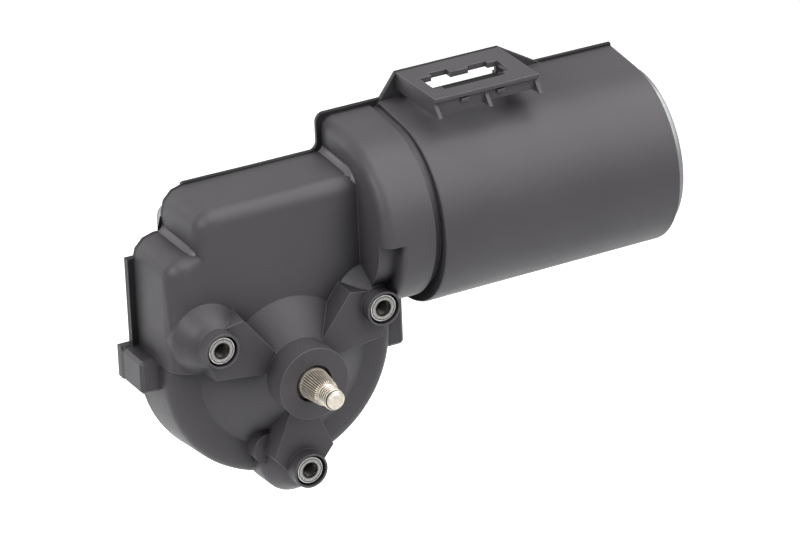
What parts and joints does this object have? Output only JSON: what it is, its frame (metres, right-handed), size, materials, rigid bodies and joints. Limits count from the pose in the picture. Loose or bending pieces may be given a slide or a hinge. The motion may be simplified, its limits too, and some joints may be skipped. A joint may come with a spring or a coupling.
{
  "type": "wiper motor",
  "caption": "Right-angle geared electric motor in a moulded two-part cover: knurled, threaded output shaft in a central boss, three mounting posts round it, and a long motor shroud beside it.",
  "frame": {"origin": "point where the output shaft's axis crosses the plane of the three mounting posts' faces", "axes": "+X along the motor towards its far end, -Y along the output shaft towards its threaded tip, +Z from the output shaft towards the motor axis"},
  "size_m": [0.2117, 0.0839, 0.1432],
  "materials": {
    "cover_plastic": "satin moulded anthracite",
    "lid_plastic": "matte moulded black",
    "wheel_plastic": "smooth natural acetal",
    "cast_alloy": "die cast, machined posts",
    "drawn_steel": "zinc plated drawn steel",
    "zinc_steel": "zinc plated",
    "bright_steel": "turned and rolled bright steel",
    "bearing_steel": "ground",
    "spring_steel": "phosphated spring steel",
    "lamination_steel": "stacked laminations",
    "sintered_bronze": "oiled sintered bronze",
    "spring_brass": "stamped brass strip",
    "copper_wire": "copper",
    "ferrite": "sintered ferrite",
    "carbon": "pressed carbon",
    "black_rubber": "matte"
  },
  "bodies": {
    "housing": {"front_cover": "cover_plastic", "rear_cover": "cover_plastic", "gear_housing": "cast_alloy", "lid_gasket": "black_rubber", "housing_lid": "lid_plastic", "lid_screws": "zinc_steel", "shaft_seal": "black_rubber", "output_bush_front": "sintered_bronze", "output_bush_rear": "sintered_bronze", "park_wipers": "spring_brass", "bearing_outer_ring": "bearing_steel", "worm_end_bush": "sintered_bronze", "motor_end_bush": "sintered_bronze", "thrust_screw": "zinc_steel", "pole_housing": "drawn_steel", "field_magnets": "ferrite", "through_bolts": "zinc_steel", "brush_plate": "lid_plastic", "brush_holders": "spring_brass", "carbon_brushes": "carbon", "brush_springs": "spring_steel", "suppression_chokes": "ferrite"},
    "output": {"output_shaft": "bright_steel", "retaining_ring": "spring_steel", "thrust_washer": "spring_steel", "wheel_hub": "drawn_steel", "worm_wheel": "wheel_plastic", "park_track": "spring_brass"},
    "armature": {"armature_shaft": "bright_steel", "armature_core": "lamination_steel", "armature_windings": "copper_wire", "commutator": "copper_wire", "bearing_inner_ring": "bearing_steel"}
  },
  "joints": [
    {"name": "armature_spin", "type": "hinge", "parent": "housing", "child": "armature", "pos_m": [0, 0.025, 0.0442], "axis": [1, 0, 0], "continuous": true},
    {"name": "output_spin", "type": "hinge", "parent": "housing", "child": "output", "pos_m": [0, 0, 0], "axis": [0, -1, 0], "continuous": true}
  ],
  "couplings": [
    {"joint": "output_spin", "follows": "armature_spin", "ratio": 0.016393}
  ]
}
